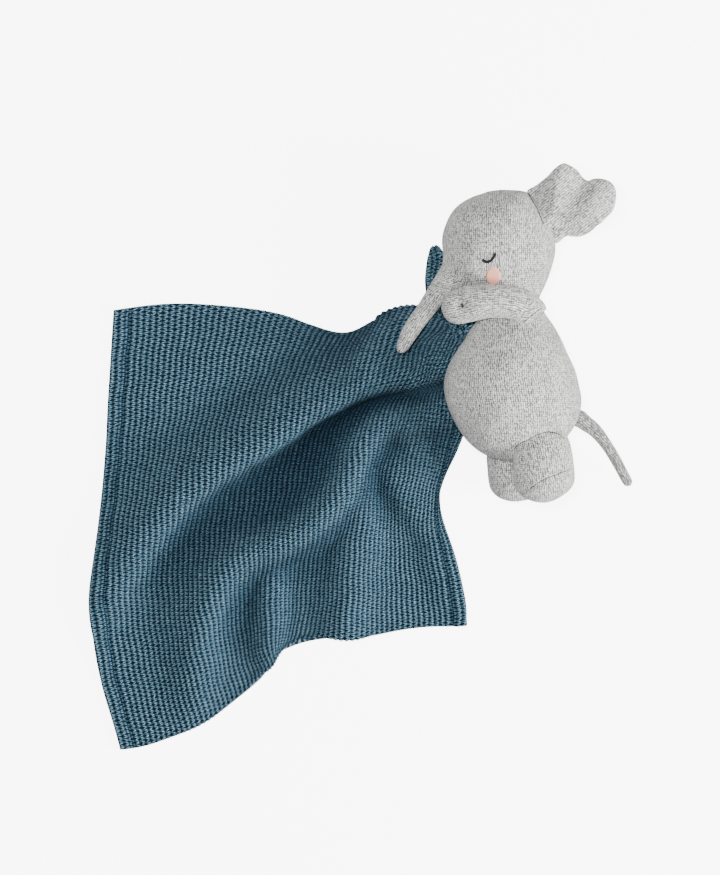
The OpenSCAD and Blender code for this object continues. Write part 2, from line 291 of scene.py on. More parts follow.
def knit_coordinates(nodes, links):
    uv = nodes.new("ShaderNodeUVMap")
    uv.uv_map = "Knit"
    sep = nodes.new("ShaderNodeSeparateXYZ")
    links.new(uv.outputs["UV"], sep.inputs[0])
    return uv.outputs["UV"], sep.outputs["X"], sep.outputs["Y"]


def surface(nodes, links, height, strength, distance, rough, gloss):
    """Bumps of that height in mm, roughness and gloss, all on the shader's own sockets."""
    bsdf = nodes["Principled BSDF"]
    bump = nodes.new("ShaderNodeBump")
    bump.inputs["Strength"].default_value = strength
    bump.inputs["Distance"].default_value = distance * MM
    links.new(height, bump.inputs["Height"])
    links.new(bump.outputs["Normal"], bsdf.inputs["Normal"])
    bsdf.inputs["Roughness"].default_value = rough
    bsdf.inputs["Specular IOR Level"].default_value = gloss


def jersey(name, shade):
    """Fine melange jersey: columns of V stitches flecked dark and light, in knit coordinates, lighter
    in each column's middle and darker between the columns as painted light and shade.
    shade darkens the whole yarn, as painted shade."""
    mat, nodes, links = nodes_of(name)
    bsdf, m = nodes["Principled BSDF"], maths(nodes, links)
    uv, u, v = knit_coordinates(nodes, links)
    wobble = noise_node(nodes, links, uv, 0.25, 2)
    uu = m("ADD", m("MULTIPLY", u, 1 / WALE), m("MULTIPLY", wobble, 1.3))
    across = m("ABSOLUTE", m("SUBTRACT", m("FRACT", uu), 0.5))
    vv = m("ADD", m("MULTIPLY", v, 1 / COURSE), m("MULTIPLY", across, 1.1))
    leg = m("ABSOLUTE", m("SINE", m("MULTIPLY", vv, 3.14159)))
    column = m("SUBTRACT", 1.0, m("POWER", m("MULTIPLY", across, 2.0), 3.0))
    stitch = m("MULTIPLY", m("ADD", m("MULTIPLY", leg, 0.5), 0.5), column)
    cell = nodes.new("ShaderNodeCombineXYZ")
    links.new(m("FLOOR", m("MULTIPLY", uu, 2.0)), cell.inputs[0])
    links.new(m("FLOOR", m("MULTIPLY", vv, 1.25)), cell.inputs[1])
    random = nodes.new("ShaderNodeTexWhiteNoise")
    links.new(cell.outputs[0], random.inputs["Vector"])
    fleck = noise_node(nodes, links, uv, 2.4, 2, 0.75)
    broad = noise_node(nodes, links, uv, 0.07, 2)
    # the stitch's shape sets the tone too: painted light and shade of the stitches; fleck, random and
    # broad are the yarn's own melange
    tone = m("ADD", m("MULTIPLY", m("SUBTRACT", stitch, 0.55), 1.15), 0.5)
    for part, weight in ((fleck, 1.1), (random.outputs["Value"], 0.85), (broad, 0.25)):
        tone = m("ADD", tone, m("MULTIPLY", m("SUBTRACT", part, 0.5), weight))
    tone = m("SUBTRACT", tone, shade)
    greys = [
        (0.04, (0.085, 0.084, 0.080)), (0.36, (0.205, 0.203, 0.196)),
        (0.62, (0.430, 0.428, 0.412)), (0.94, (0.84, 0.84, 0.82)),
    ]
    links.new(ramp_node(nodes, links, tone, greys), bsdf.inputs["Base Color"])
    height = m("ADD", stitch, m("MULTIPLY", fleck, 0.9))
    surface(nodes, links, height, strength=0.6, distance=0.4, rough=0.95, gloss=0.12)
    bsdf.inputs["Sheen Weight"].default_value = 0.3
    bsdf.inputs["Sheen Roughness"].default_value = 0.5
    return mat


def garter():
    """Petrol garter stitch: upright ridges of zigzag loops, in knit coordinates, lighter on the yarn
    and darker in the pits between the loops as painted light and shade.
    """
    mat, nodes, links = nodes_of("petrol_garter")
    bsdf, m = nodes["Principled BSDF"], maths(nodes, links)
    uv, u, v = knit_coordinates(nodes, links)
    drift = noise_node(nodes, links, uv, 0.35, 2)
    u = m("ADD", u, m("MULTIPLY", m("SINE", m("MULTIPLY", v, WANDER_RATE)), RIDGE_WANDER))
    ridge = m("MULTIPLY", u, 1 / RIDGE)
    column = m("FLOOR", ridge)
    odd = m("MULTIPLY", m("MODULO", column, 2.0), 0.5)
    jitter = m("MULTIPLY", m("SINE", m("MULTIPLY", column, 12.9898)), 0.18)
    turns = m("ADD", m("ADD", m("MULTIPLY", v, 1 / LOOP), odd), jitter)
    turns = m("ADD", turns, m("MULTIPLY", m("SUBTRACT", drift, 0.5), 0.9))
    phase = m("MULTIPLY", turns, 2 * np.pi)
    x = m("MULTIPLY", m("SUBTRACT", m("SUBTRACT", ridge, column), 0.5), RIDGE)
    off = m("DIVIDE", m("SUBTRACT", x, m("MULTIPLY", m("SINE", phase), SWAY)), STRAND)
    strand = m("SQRT", m("MAXIMUM", m("SUBTRACT", 1.0, m("MULTIPLY", off, off)), 0.0))
    loop = m("ADD", m("MULTIPLY", m("COSINE", m("MULTIPLY", phase, 2.0)), 0.36), 0.64)
    relief = m("MULTIPLY", strand, loop)
    fleck = noise_node(nodes, links, uv, 1.1, 3, 0.7)
    from_middle = m("ABSOLUTE", m("SUBTRACT", u, SIDE / 2))
    from_hem = m("ABSOLUTE", m("SUBTRACT", from_middle, SIDE / 2 - HEM))
    groove = m("MAXIMUM", m("SUBTRACT", 1.0, m("MULTIPLY", from_hem, 1 / 0.9)), 0.0)
    # the relief lightens the yarn and darkens the pits between loops: painted light and shade; the
    # fleck is the yarn's own colour
    tone = m("ADD", m("MULTIPLY", relief, 0.74), m("MULTIPLY", m("SUBTRACT", fleck, 0.46), 1.0))
    # painted shade in the groove where the folded hem ends
    tone = m("SUBTRACT", tone, m("MULTIPLY", groove, 0.5))
    # painted shade: the cloth darker where its folds hide the sky
    hollow = nodes.new("ShaderNodeAttribute")
    hollow.attribute_name = "hollow"
    tone = m("SUBTRACT", tone, m("MULTIPLY", hollow.outputs["Fac"], FOLD_SHADE_STRENGTH))
    petrols = [
        (0.05, (0.003, 0.009, 0.017)), (0.34, (0.030, 0.080, 0.118)),
        (0.62, (0.112, 0.218, 0.288)), (0.98, (0.37, 0.52, 0.60)),
    ]
    links.new(ramp_node(nodes, links, tone, petrols), bsdf.inputs["Base Color"])
    height = m("ADD", relief, m("MULTIPLY", fleck, 0.35))
    surface(nodes, links, height, strength=0.7, distance=0.7, rough=0.95, gloss=0.06)
    return mat


def plain(name, colour, rough, grain, spread, bump_mm):
    """Thread or felt: one colour with a fine grain that spreads a little to both sides of it."""
    mat, nodes, links = nodes_of(name)
    bsdf = nodes["Principled BSDF"]
    tex = nodes.new("ShaderNodeTexCoord")
    fleck = noise_node(nodes, links, tex.outputs["Object"], grain * 100, 3, 0.7)
    dark = tuple(x * (1 - spread) for x in colour)
    light = tuple(min(1, x * (1 + spread)) for x in colour)
    links.new(ramp_node(nodes, links, fleck, [(0.3, dark), (0.7, light)]), bsdf.inputs["Base Color"])
    surface(nodes, links, fleck, strength=0.6, distance=bump_mm, rough=rough, gloss=0.2)
    return mat


GREY = jersey("grey_jersey", 0.02)
DARKENED_GREY = jersey("grey_jersey_shaded", 0.38)  # for the tail: the same yarn darkened, as painted shade
PETROL = garter()
BLACK = plain("black_thread", (0.012, 0.010, 0.011), 0.6, 20, 0.3, 0.1)
PINK = plain("pink_felt", (0.96, 0.43, 0.32), 0.95, 12, 0.1, 0.08)
# near-black thread along the seams and in the paw's tack: painted shade of their creases and pit
SEAM_SHADE = plain("seam_shade_thread", (0.045, 0.044, 0.042), 0.85, 20, 0.2, 0.05)


# ---------- elephant
def piece(name, data, body, replaced, seed, material=GREY, wobble=0.35):
    """A stuffed part of the elephant."""
    ob = make(name, *data, material)
    lumps(ob, 24, wobble, seed)
    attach(ob, body)
    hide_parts(*replaced)
    return ob


def body_rows(rows):
    """Stations from y, left edge, right edge and half height, lying along Y."""
    return [((l + r) / 2, y, MID, (r - l) / 2, b) for y, l, r, b in rows]


torso_rows = [
    (66, -9, 2, 5), (63, -15, 9, 10.5), (58, -19, 13, 13), (52, -20.3, 16.2, 14.4),
    (44, -21.6, 19.9, 16), (36, -24.9, 25.3, 21), (27.5, -29.5, 29.6, 28.5),
    (18, -35.8, 34.3, 34.5), (8.3, -41.5, 38.6, 39), (-2, -43.6, 42.0, 41),
    (-12, -43.0, 43.7, 41.2), (-22, -39.8, 42.4, 39), (-31, -34.8, 38.0, 35),
    (-40, -28, 32, 29), (-47, -19, 25, 21), (-51, -8, 14, 11), (-52.5, 2, 4, 1),
]
torso_stood_for = ["torso_left_panel", "torso_right_panel", "torso_stuffing"]
torso = loft(body_rows(torso_rows), 110, 144, axis=(0, -1, 0))
torso = piece("torso", torso, "torso", torso_stood_for, 3)

# The head and the trunk are one knitted skin.
head_rows = [
    (121, -9, -7, 1), (120.2, -16, 2, 8), (119, -19, 8.5, 13), (117, -24.5, 12, 17.5),
    (112.6, -32.3, 16.6, 23.5), (107.5, -38.4, 20.6, 28), (100.5, -42.8, 24.0, 31.5),
    (91, -45.2, 26.5, 34), (80, -45.2, 26.3, 34), (72, -44, 24.6, 31.5), (66, -41, 22.6, 26),
    (60.5, -34, 20.3, 20), (55, -26, 17.8, 16), (50, -21, 15.8, 14.5), (45, -17, 13, 12),
    (43, -5, 3, 2),
]
trunk_rows = [
    (-30, 75, MID, 13, 15), (-38, 66, MID + 3, 10.6, 11.5), (-44.5, 59, MID + 4.7, 8.2, 8.5),
    (-50, 52, MID + 5.5, 6.7, 7), (-55.7, 44.2, MID + 6, 5.9, 6.2),
    (-62.4, 35, MID + 5.5, 5.6, 5.7), (-67, 27.5, MID + 4.5, 5.1, 5.2),
    (-70, 21.8, MID + 3.7, 4.5, 4.6), (-71.8, 18.4, MID + 3.2, 3.2, 3.3),
    (-72.6, 16.9, MID + 3, 1.2, 1.2),
]


def merged(name, parts, voxel):
    """One skin round several lofts."""
    verts, faces, at = [], [], 0
    for v, f, _ in parts:
        verts.append(v)
        faces += [tuple(i + at for i in face) for face in f]
        at += len(v)
    ob = make(name, np.vstack(verts), faces)
    mod = ob.modifiers.new("join", "REMESH")
    mod.mode = "VOXEL"
    mod.voxel_size = voxel * MM
    me = bpy.data.meshes.new_from_object(ob.evaluated_get(bpy.context.evaluated_depsgraph_get()))
    ob.modifiers.clear()
    ob.data = me
    me.polygons.foreach_set("use_smooth", [True] * len(me.polygons))
    return ob


def relax(ob, times, weight=None):
    """Smooths the surface, only where weight is if it is given."""
    p = coords(ob)
    e = np.empty(len(ob.data.edges) * 2, np.int32)
    ob.data.edges.foreach_get("vertices", e)
    a, b = e.reshape(-1, 2).T
    count = np.bincount(a, minlength=len(p)) + np.bincount(b, minlength=len(p))
    w = 0.5 if weight is None else 0.5 * weight[:, None]
    for _ in range(times):
        sums = [np.bincount(a, x[b], len(p)) + np.bincount(b, x[a], len(p)) for x in p.T]
        p = p + w * (np.stack(sums, 1) / np.maximum(count, 1)[:, None] - p)
    move(ob, p)


head_ball = loft(body_rows(head_rows), 90, 120, axis=(0, -1, 0))
head = merged("head", [head_ball, loft(trunk_rows, 70, 56)], 1.0)
from_root = np.linalg.norm(coords(head) - np.array([-39, 65, MID + 4]), axis=1)
near_root = np.exp(-((from_root / 15) ** 2))
relax(head, 4)
relax(head, 60, near_root)
lumps(head, 26, 0.4, 5)


def head_knit(p):
    """Wales run down the head and on along the trunk; over the crown they keep their height."""
    dx, dz = p[:, 0] + 9.5, np.abs(p[:, 2] - MID)
    u_head = np.hypot(dx, dz) * np.arctan2(dx, dz + 1e-6)
    over = np.clip(p[:, 1] - HEAD_MID[1], 0, HEAD_R)
    v_head = -np.minimum(p[:, 1], HEAD_MID[1]) - HEAD_R * np.arcsin(over / HEAD_R)
    line = spline([row[:2] for row in trunk_rows], 60)
    d, s = line_distance(p[:, :2], line)
    i = np.clip((s / 1.2).astype(int), 0, len(line) - 2)
    tangent = unit(np.gradient(line, axis=0))[i]
    off = p[:, :2] - line[i]
    signed = np.where(tangent[:, 0] * off[:, 1] - tangent[:, 1] * off[:, 0] > 0, d, -d)
    tz = np.abs(p[:, 2] - MID - 4)
    u_trunk = np.hypot(signed, tz) * np.arctan2(signed, tz + 1e-6)
    w = smoothstep((s - 2) / 26) * smoothstep((30 - d) / 16)
    return (1 - w) * u_head + w * (u_trunk - 22), (1 - w) * v_head + w * (s - 76)


def paint_knit(ob, u, v):
    loops = np.empty(len(ob.data.loops), np.int32)
    ob.data.loops.foreach_get("vertex_index", loops)
    layer = ob.data.uv_layers.new(name="Knit")
    layer.data.foreach_set("uv", np.stack([u[loops], v[loops]], 1).astype(np.float32).ravel())


paint_knit(head, *head_knit(coords(head)))
head.data.materials.clear()
head.data.materials.append(GREY)


def arm(side, rows, rings, around, seed):
    replaced = [f"{side}_arm_{part}" for part in ("skin", "stuffing")]
    data = loft(rows, rings, around)
    return piece(f"{side}_arm", data, "arms", replaced, seed, wobble=0.3)


def leg(side, rows, z, slant, seed):
    """A row is x, y, half the width and half the height; slant is the leg's x for each -y."""
    replaced = [f"{side}_leg_{part}" for part in ("skin", "sole", "stuffing")]
    data = loft([(x, y, z, a, b) for x, y, a, b in rows], 72, 96, axis=(slant, -1, 0))
    return piece(f"{side}_leg", data, f"{side}_leg", replaced, seed)


near_arm_rows = [
    (18.2, 45.4, 44, 0.5, 2), (16.8, 45.9, 47, 1.9, 5), (14.2, 46.5, 51.5, 5.0, 7.6),
    (10.5, 46.6, 55.5, 8.2, 8.8), (7.2, 46.1, 58.8, 10.7, 9.6), (5.6, 46.2, 60, 11.3, 9.8),
    (2.2, 47.6, 61.5, 10.8, 10.1), (-2, 48.6, 62.6, 10.4, 10.2),
    (-7.7, 49.1, 63.3, 10.6, 10.4), (-16.6, 49.5, 63.2, 10.8, 10.5),
    (-25, 48.3, 61.8, 11.2, 10.4), (-32, 46.8, 60, 11.4, 10), (-37, 45.6, 58.4, 10.9, 9.4),
    (-40.5, 44.9, 57.2, 9.3, 8), (-43, 44.6, 56.4, 6.6, 5.6), (-44.5, 44.5, 56, 3.2, 2.8),
    (-45, 44.4, 55.8, 0.4, 0.4),
]
far_arm_rows = [
    (17, 45.5, 26, 1, 2), (13, 46, 21, 6, 7), (6, 46.5, 16, 9.6, 9.4),
    (-4, 48, 13.4, 10.3, 10), (-16, 49, 13, 10.4, 10), (-26, 49, 15, 10.4, 10),
    (-35, 48.5, 18.5, 10, 9.4), (-41, 48.5, 20.5, 8, 7.4), (-44.4, 48.6, 21.5, 3.6, 3.4),
    (-45.2, 48.6, 21.7, 0.4, 0.4),
]
near_leg_rows = [
    (16, -27, 1, 1), (16.2, -28.5, 9, 6), (16.6, -33, 14.8, 12), (17.4, -40, 18.0, 16.0),
    (18.2, -46, 18.9, 17.8), (19, -54, 19.5, 18.4), (19.5, -61, 19.9, 18.4),
    (20, -67, 18.7, 17.8), (20.1, -71.5, 15.6, 15.4), (20.3, -75, 11, 11),
    (20.4, -77, 5.6, 6), (20.4, -77.8, 0.5, 0.5),
]
far_leg_rows = [
    (1.5, -30, 1, 1), (1.5, -31.5, 9, 9), (1.4, -35, 14.8, 14), (1.4, -41, 17.8, 17.2),
    (1.6, -48, 18.3, 18.2), (2.2, -56, 18.2, 18.3), (2.8, -64, 18.1, 18.2),
    (3.2, -70, 16.6, 16.6), (3.4, -74.5, 12.4, 12.6), (3.5, -77.2, 6, 6),
    (3.5, -78, 0.5, 0.5),
]
tail_rows = [
    (37, -21, 39, 3.5, 3.5), (41.6, -24.3, 38.5, 5.6, 5.4), (46, -27.6, 37.2, 5.1, 4.9),
    (53.1, -33.3, 34, 4.3, 4.2), (60.8, -42.9, 27, 3.7, 3.7), (67.8, -54.4, 19, 3.4, 3.4),
    (73.4, -64.4, 13, 3.1, 3.1), (74.6, -66.6, 11.8, 2.1, 2.1), (75.1, -67.6, 11.4, 0.4, 0.4),
]
near_arm = arm("left", near_arm_rows, 96, 88, 11)
arm("right", far_arm_rows, 80, 72, 12)
near_leg = leg("left", near_leg_rows, MID + 15.2, 0.1, 21)
far_leg = leg("right", far_leg_rows, 19.2, 0.03, 22)
tail_stood_for = ["tail_skin", "tail_stuffing"]
# the tail wears the darkened copy of the yarn, its painted shade
piece("tail", loft(tail_rows, 80, 36), "tail", tail_stood_for, 31, DARKENED_GREY, wobble=0.12)

# Ears: two knitted layers sewn at the rim, thinly stuffed.
ear_outline = [
    (9, 118.6), (9.4, 121), (15.4, 124.5), (21.8, 129.3), (26.5, 134.2), (30.5, 137), (34, 136.9),
    (40.3, 132.5), (44.5, 128.3), (47.5, 126.4), (52, 127.2), (58, 127), (63, 124), (65.5, 119.7),
    (65.4, 113.3), (62.1, 106.2), (57.6, 101.1), (51.8, 96.9), (45.4, 94.9), (39, 94.2),
    (32.6, 95.4), (25.6, 96.4), (19.2, 98.6), (16.6, 105), (13, 112.5),
]


def closed(points, count):
    """A smooth closed line."""
    p = list(points)
    full = spline(p[-3:] + p + p[:4], 1200)
    start = np.argmin(np.linalg.norm(full[:600] - np.array(p[0]), axis=1))
    end = 600 + np.argmin(np.linalg.norm(full[600:] - np.array(p[0]), axis=1))
    return spline(full[start : end + 1 : 4], count + 1)[:-1]


def ear(side, height, turn, seed, shrink):
    """One ear over its outline, at the heights that height() gives."""
    o = closed(ear_outline, 250)
    c = np.array([38.0, 112.0])  # the middle of the outline
    n, rings, puff_height = len(o), 34, 2.6
    rho = np.sin(np.linspace(0, np.pi / 2, rings + 1))[1:]
    plan = np.concatenate([c + (o - c) * r for r in rho])
    edge = np.repeat(1 - rho, n)
    puff = puff_height * np.sqrt(np.clip(1 - (1 - edge) ** 5, 0, 1))
    z = height(plan)
    top = np.column_stack([plan, z + puff])
    low = np.column_stack([plan, z - puff])
    zc = height(c[None])[0]
    poles = [[*c, zc + puff_height], [*c, zc - puff_height]]
    verts = np.vstack([top, low[:-n], poles])
    faces, under = [], rings * n
    for i in range(rings - 1):
        for k in range(n):
            m = (k + 1) % n
            a, b = i * n, (i + 1) * n
            faces.append((a + m, a + k, b + k, b + m))
            lower = [under + a + k, under + a + m, under + b + m, under + b + k]
            if i == rings - 2:  # the rim is the upper side's
                lower[2:] = [b + m, b + k]
            faces.append(tuple(lower))
    last = len(verts)
    for k in range(n):
        m = (k + 1) % n
        faces.append((last - 2, k, m))
        faces.append((last - 1, under + m, under + k))
    # shrunk towards the head and turned about it, the sewn edge the most
    rel = verts[:, :2] - HEAD_MID
    r = np.linalg.norm(rel, axis=1)
    rel *= ((HEAD_R + (r - HEAD_R) * shrink) / r)[:, None]
    a = np.radians(turn) * (1 - 0.8 * smoothstep((r - 35) / 14))
    verts[:, 0] = HEAD_MID[0] + rel[:, 0] * np.cos(a) - rel[:, 1] * np.sin(a)
    verts[:, 1] = HEAD_MID[1] + rel[:, 0] * np.sin(a) + rel[:, 1] * np.cos(a)
    ob = make(f"{side}_ear", verts, faces, None, GREY)
    lumps(ob, 15, 0.35, seed)
    x, y, _ = coords(ob).T
    k = np.radians(38)  # the ear's wales run this way from the head
    paint_knit(ob, -x * np.sin(k) + y * np.cos(k), x * np.cos(k) + y * np.sin(k))
    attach(ob, f"{side}_ear")
    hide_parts(f"{side}_ear_outer", f"{side}_ear_inner")


def near_ear_height(q):
    along = (q - np.array([14, 109])) @ np.array([0.9, 0.44])
    valley, s = line_distance(q, np.array([(48, 130), (43, 120), (35, 112), (26, 107)], float))
    z = MID + 13.5 + 1.5 * smoothstep(along / 30) - 3.5 * smoothstep((along - 36) / 16)
    z = z - 4.5 * np.exp(-((valley / 6.5) ** 2)) * smoothstep((32 - s) / 26)
    ridge, _ = line_distance(q, np.array([(31, 134), (27, 122), (24, 112)], float))
    z = z + 1.6 * np.exp(-((ridge / 8) ** 2))
    lobe, _ = line_distance(q, np.array([(60, 122), (50, 108), (42, 102)], float))
    z = z + 1.5 * np.exp(-((lobe / 8) ** 2))
    z = z - 2.5 * smoothstep((101 - q[:, 1]) / 8)
    sewn = MID + 1 + 16 * np.clip((118.4 - q[:, 1]) / 19.5, 0, 1.1)
    w = smoothstep((27 - q[:, 0]) / 13)
    return (1 - w) * z + w * sewn


def far_ear_height(q):
    along = (q - np.array([14, 109])) @ np.array([0.9, 0.44])
    return MID - 14 - 3 * smoothstep(along / 50)


ear("left", near_ear_height, 0, 41, 1.0)
ear("right", far_ear_height, -15, 42, 0.8)

# Creases where pieces are sewn together.
toe_crease = [(8, -71.5), (12, -67.5), (17.3, -64), (23, -62), (29, -60), (36.5, -57)]
hip_crease = [(-1, -45), (4.5, -40.3), (10.2, -37.8), (16, -34.8), (21.8, -33.3), (30, -34.5)]
crease(near_leg, toe_crease, 1.0, 1.1)
crease(torso, hip_crease, 2.0, 1.2)
pit(near_arm, PAW_TACK, 3.4, 4.2)
crease(near_arm, [(-33.6, 50.2), (-32.9, 47.2), (-31.4, 43)], 1.3, 0.9)

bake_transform(head)
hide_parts("head_left_panel", "head_right_panel", "head_stuffing", "trunk_skin", "trunk_stuffing")


def bvh(ob):
    faces = [tuple(f.vertices) for f in ob.data.polygons]
    return BVHTree.FromPolygons([Vector(v) for v in coords(ob)], faces)


head_tree = bvh(head)


def drop(tree, x, y, up=True):
    """The surface's height and outward normal straight above or below a place."""
    start = Vector((x, y, 150 if up else -50))
    hit, normal, _, _ = tree.ray_cast(start, Vector((0, 0, -1 if up else 1)))
    if hit is None:
        return None
    if (normal.z > 0) != up:
        normal = -normal
    return np.array(hit), np.array(normal)


def thread(path, radius, stitch=0.0, around=12):
    """A closed tube along a path, with the lumps of separate stitches of that length, if any."""
    c = np.array(path, float)
    d = unit(np.gradient(c, axis=0))
    s = np.r_[0, np.cumsum(np.linalg.norm(np.diff(c, axis=0), axis=1))]
    side = unit(np.cross(d, [0, 0, 1.0]) + 1e-6)
    up = np.cross(side, d)
    r = np.full(len(c), radius, float)
    if stitch:
        r *= 0.84 + 0.16 * np.abs(np.sin(np.pi * s / stitch))
    end = np.minimum(s, s[-1] - s)
    r *= np.sqrt(np.clip(1 - (1 - np.minimum(end / radius, 1)) ** 2, 0.02, 1))
    th = np.arange(around) * 2 * np.pi / around
    p = c[:, None] + r[:, None, None] * (
        np.cos(th)[None, :, None] * side[:, None] + np.sin(th)[None, :, None] * up[:, None]
    )
    faces = []
    for i in range(len(c) - 1):
        for k in range(around):
            m = (k + 1) % around
            a, b = i * around, (i + 1) * around
            faces.append((a + k, b + k, b + m, a + m))
    faces.append(tuple(range(around)))
    faces.append(tuple((len(c) - 1) * around + k for k in reversed(range(around))))
    return p.reshape(-1, 3), faces


def trim(name, data, body, replaced, material):
    """A small piece on the surface."""
    ob = make(name, *data, None, material)
    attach(ob, body)
    if replaced:
        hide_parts(*replaced)


EYE = [(-19.8, 76.2), (-18.8, 74.9), (-16.6, 74.3), (-14.2, 75.6), (-12.4, 78), (-11.5, 79.8)]
CHEEK = np.array([-12.9, 65.4])
CHEEK_WIDE, CHEEK_TALL = 4.5, 5.3  # half its width and height
FELT_TOP, FELT_EDGE, FELT_LOW = 0.55, 0.5, -0.4  # over the knit, how far its rim drops, and under


def eye(label, up):
    """A closed eye, sewn in thick black thread."""
    arc = []
    for x, y in spline(EYE, 60):
        hit, n = drop(head_tree, x, y, up)
        arc.append(hit + n * 0.5)
    data = thread(arc, 0.98, 1.9)
    trim(f"{label}_eye", data, "head", [f"{label}_eye_stitch"], BLACK)


def cheek(label, up):
    """An oval of pink felt that follows the head."""
    verts, faces = [], []
    rings, n = 12, 64
    for top in (True, False):
        for i in range(rings):
            r = (i + 1) / rings
            rise = FELT_TOP - FELT_EDGE * max(0, (r - 0.85) / 0.15) ** 2 if top else FELT_LOW
            for k in range(n):
                th = 2 * np.pi * k / n
                x = CHEEK[0] + CHEEK_WIDE * r * np.cos(th)
                y = CHEEK[1] + CHEEK_TALL * r * np.sin(th)
                hit, outward = drop(head_tree, x, y, up)
                verts.append(hit + outward * rise)
    under = rings * n
    for i in range(rings - 1):
        for k in range(n):
            m = (k + 1) % n
            a, b = i * n, (i + 1) * n
            faces.append((a + k, b + k, b + m, a + m))
            faces.append((under + a + m, under + b + m, under + b + k, under + a + k))
    rim = (rings - 1) * n
    for k in range(n):
        m = (k + 1) % n
        faces.append((rim + k, under + rim + k, under + rim + m, rim + m))
    faces.append(tuple(range(n)))
    faces.append(tuple(under + k for k in reversed(range(n))))
    trim(f"{label}_cheek", (verts, faces), "head", [f"{label}_cheek_patch"], PINK)


for side, faces_up in (("left", True), ("right", False)):
    eye(side, faces_up)
    cheek(side, faces_up)


def seam(name, points, trees, body, up, radius):
    """A row of small near-black stitches where two pieces are sewn together, their darkness painted
    shade of the seam's crease.
    """
    path = []
    for x, y in spline(points, 70):
        found = [f for f in (drop(t, x, y, up) for t in trees) if f is not None]
        if found:
            hit, n = max(found, key=lambda f: f[0][2] * (1 if up else -1))
            path.append(hit + np.array([0, 0, 0.05 if up else -0.05]))
    path = np.array(path)
    for _ in range(3):
        path[1:-1] = (path[:-2] + 2 * path[1:-1] + path[2:]) / 4
    trim(name, thread(path, radius, 1.5, 8), body, [], SEAM_SHADE)


torso_tree, arm_tree = bvh(torso), bvh(near_arm)
near_leg_tree, far_leg_tree = bvh(near_leg), bvh(far_leg)
ear_line = [(9.6, 118.2), (12.8, 112), (15.4, 107.5), (17, 103), (18.8, 98.6)]
hip_line = [(0, -44.2), (4.5, -40.3), (10.2, -37.8), (16, -34.6), (21.8, -33.3), (27, -34.2), (32, -37)]
toe_line = [(10.2, -69.1), (17.3, -64), (23, -61.6), (30, -59), (36, -56.5)]
arm_line = [(6.2, 35.8), (10, 39.4), (14, 42.6), (18.2, 45.6)]
far_hip_line = [(x - 14, y) for x, y in hip_line[1:-1]]
far_toe_line = [(x - 17, y) for x, y in toe_line]
seam("left_ear_seam", ear_line, [head_tree], "head", True, 0.45)
seam("left_hip_seam", hip_line, [torso_tree, near_leg_tree], "torso", True, 0.3)
seam("left_toe_seam", toe_line, [near_leg_tree], "left_leg", True, 0.3)
seam("left_arm_seam", arm_line, [arm_tree, torso_tree], "arms", True, 0.3)
seam("right_hip_seam", far_hip_line, [torso_tree, far_leg_tree], "torso", False, 0.3)
seam("right_toe_seam", far_toe_line, [far_leg_tree], "right_leg", False, 0.3)
seam("right_ear_seam", ear_line, [head_tree], "head", False, 0.45)

# a near-black stitch in the paw's pit, its darkness painted shade of the pit
tack = []
for f in np.linspace(-1, 1, 16):
    hit, n = drop(arm_tree, PAW_TACK[0] + 0.35 * f, PAW_TACK[1] - 1.5 * f)
    tack.append(hit + n * (0.25 - 0.35 * f * f))
trim("paw_tack_stitch", thread(tack, 0.75), "arms", ["paw_tack"], SEAM_SHADE)

# ---------- cloth
top_line = [
    (-255.4, 44.8), (-233.6, 48.6), (-212.5, 49.9), (-180.5, 47.4), (-148.5, 42.9), (-117, 30.5),
    (-104.5, 25.5), (-95.5, 30.5), (-86.5, 41), (-75, 47.5), (-58, 47.5), (-40, 46),
]
left_line = [
    (-255.4, 44.8), (-257, 25), (-258.6, -12.8), (-261.8, -64), (-265, -102), (-270, -134.4),
    (-271.9, -141), (-268.2, -166.4), (-263.7, -194), (-255.4, -219.5), (-250.9, -236.8),
]
bottom_line = [
    (-250.9, -236.8), (-241.3, -237.4), (-225.3, -231.7), (-199.7, -220.8), (-174, -202.9),
    (-158, -188), (-149.5, -180.2), (-157, -178.5), (-150, -174), (-142, -169), (-116.5, -163.8),
    (-103.7, -167), (-84.5, -162.6), (-63.4, -158.7), (-28.8, -157),
]
right_line = [
    (-25, 41), (-27, 35), (-31, 27), (-35, 19), (-36, 9), (-33, -6), (-29, -20), (-29.5, -34),
    (-36, -49), (-44, -62), (-48.4, -75), (-46, -90), (-38.6, -106), (-31.4, -134), (-26.9, -153.6),
    (-28.8, -157),
]

roll = [
    (-36, 34, 32), (-41, 22, 33), (-48, 12, 34), (-58, 7, 35), (-74, 5, 35), (-91, 2, 33),
    (-107, -4, 31), (-121, -12, 29), (-135, -20, 27), (-150, -31, 27), (-176, -49, 26),
    (-200, -66, 25), (-220, -86, 22), (-238, -108, 18), (-254, -134, 13), (-266, -156, 7),
]
second = [
    (-46, -20, 18), (-60, -24, 23), (-76, -25, 26), (-90, -36, 28), (-99, -52, 27), (-106, -69, 26),
    (-122, -88, 25), (-145, -103, 23), (-168, -112, 22), (-185, -128, 21), (-196, -150, 18),
    (-201, -178, 12), (-203, -206, 7),
]
third = [(-99, -86, 9), (-102, -119, 11), (-105, -150, 12), (-107, -168, 11)]
pleat = [(-155, -118, 5), (-155, -132, 9), (-155, -150, 10), (-157, -176, 11)]
fourth = [(-82, -52, 10), (-73, -73, 9), (-61, -95, 8), (-47, -119, 7), (-38, -145, 5)]
shoulder = [(-67, -31, 22), (-60, -42, 16), (-57, -54, 9)]
fifth = [(-97, -77, 11), (-94, -90, 12), (-90, -106, 8)]
pouch = [(-56, 40, 28), (-66, 37, 32), (-77, 32, 32), (-87, 24, 31), (-96, 12, 29)]
flat_wave = [(-150, 20, 4), (-190, 5, 5), (-230, -15, 4)]
